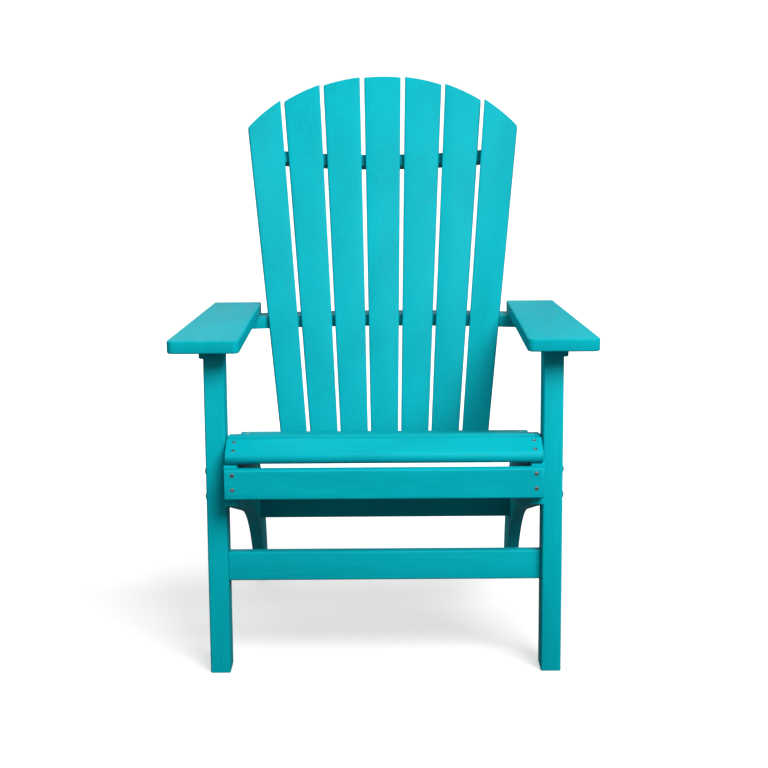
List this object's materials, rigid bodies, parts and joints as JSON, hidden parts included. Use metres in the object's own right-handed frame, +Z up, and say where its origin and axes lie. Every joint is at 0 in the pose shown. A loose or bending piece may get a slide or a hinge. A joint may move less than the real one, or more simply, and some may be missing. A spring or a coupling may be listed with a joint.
{
  "type": "adirondack chair",
  "caption": "Adirondack garden chair: fanned slat back, sloping slatted seat, wide flat arms, and curved side boards that run down to become the rear legs.",
  "frame": {"origin": "on the floor, under the centre of the chair's overall width and depth", "axes": "+X to the right seen from the front, +Y from the front of the seat to the back, +Z up; the chair faces -Y"},
  "size_m": [0.7154, 0.6848, 1.0184],
  "materials": {
    "turquoise_lumber": "satin, faint mottle along the board, eased edges",
    "stainless_steel": "satin"
  },
  "bodies": {
    "root": {"stringer_left": "turquoise_lumber", "stringer_right": "turquoise_lumber", "front_leg_left": "turquoise_lumber", "front_leg_right": "turquoise_lumber", "front_stretcher": "turquoise_lumber", "rear_brace": "turquoise_lumber", "front_apron": "turquoise_lumber", "seat_slat_1": "turquoise_lumber", "seat_slat_2": "turquoise_lumber", "seat_slat_3": "turquoise_lumber", "seat_slat_4": "turquoise_lumber", "seat_slat_5": "turquoise_lumber", "seat_slat_6": "turquoise_lumber", "lower_back_rail": "turquoise_lumber", "arm_rail": "turquoise_lumber", "upper_back_rail": "turquoise_lumber", "back_slat_1": "turquoise_lumber", "back_slat_2": "turquoise_lumber", "back_slat_3": "turquoise_lumber", "back_slat_4": "turquoise_lumber", "back_slat_5": "turquoise_lumber", "back_slat_6": "turquoise_lumber", "back_slat_7": "turquoise_lumber", "arm_left": "turquoise_lumber", "arm_right": "turquoise_lumber", "arm_block_left": "turquoise_lumber", "arm_block_right": "turquoise_lumber", "apron_screws": "stainless_steel", "seat_slat_screws": "stainless_steel", "lower_rail_slat_screws": "stainless_steel", "arm_rail_slat_screws": "stainless_steel", "upper_rail_slat_screws": "stainless_steel", "lower_rail_end_screws": "stainless_steel", "arm_rear_screws": "stainless_steel", "arm_block_screws": "stainless_steel", "leg_top_screws": "stainless_steel", "stretcher_screws": "stainless_steel", "brace_screws": "stainless_steel", "leg_bolts": "stainless_steel", "leg_washers": "stainless_steel", "leg_nuts": "stainless_steel"}
  },
  "joints": []
}
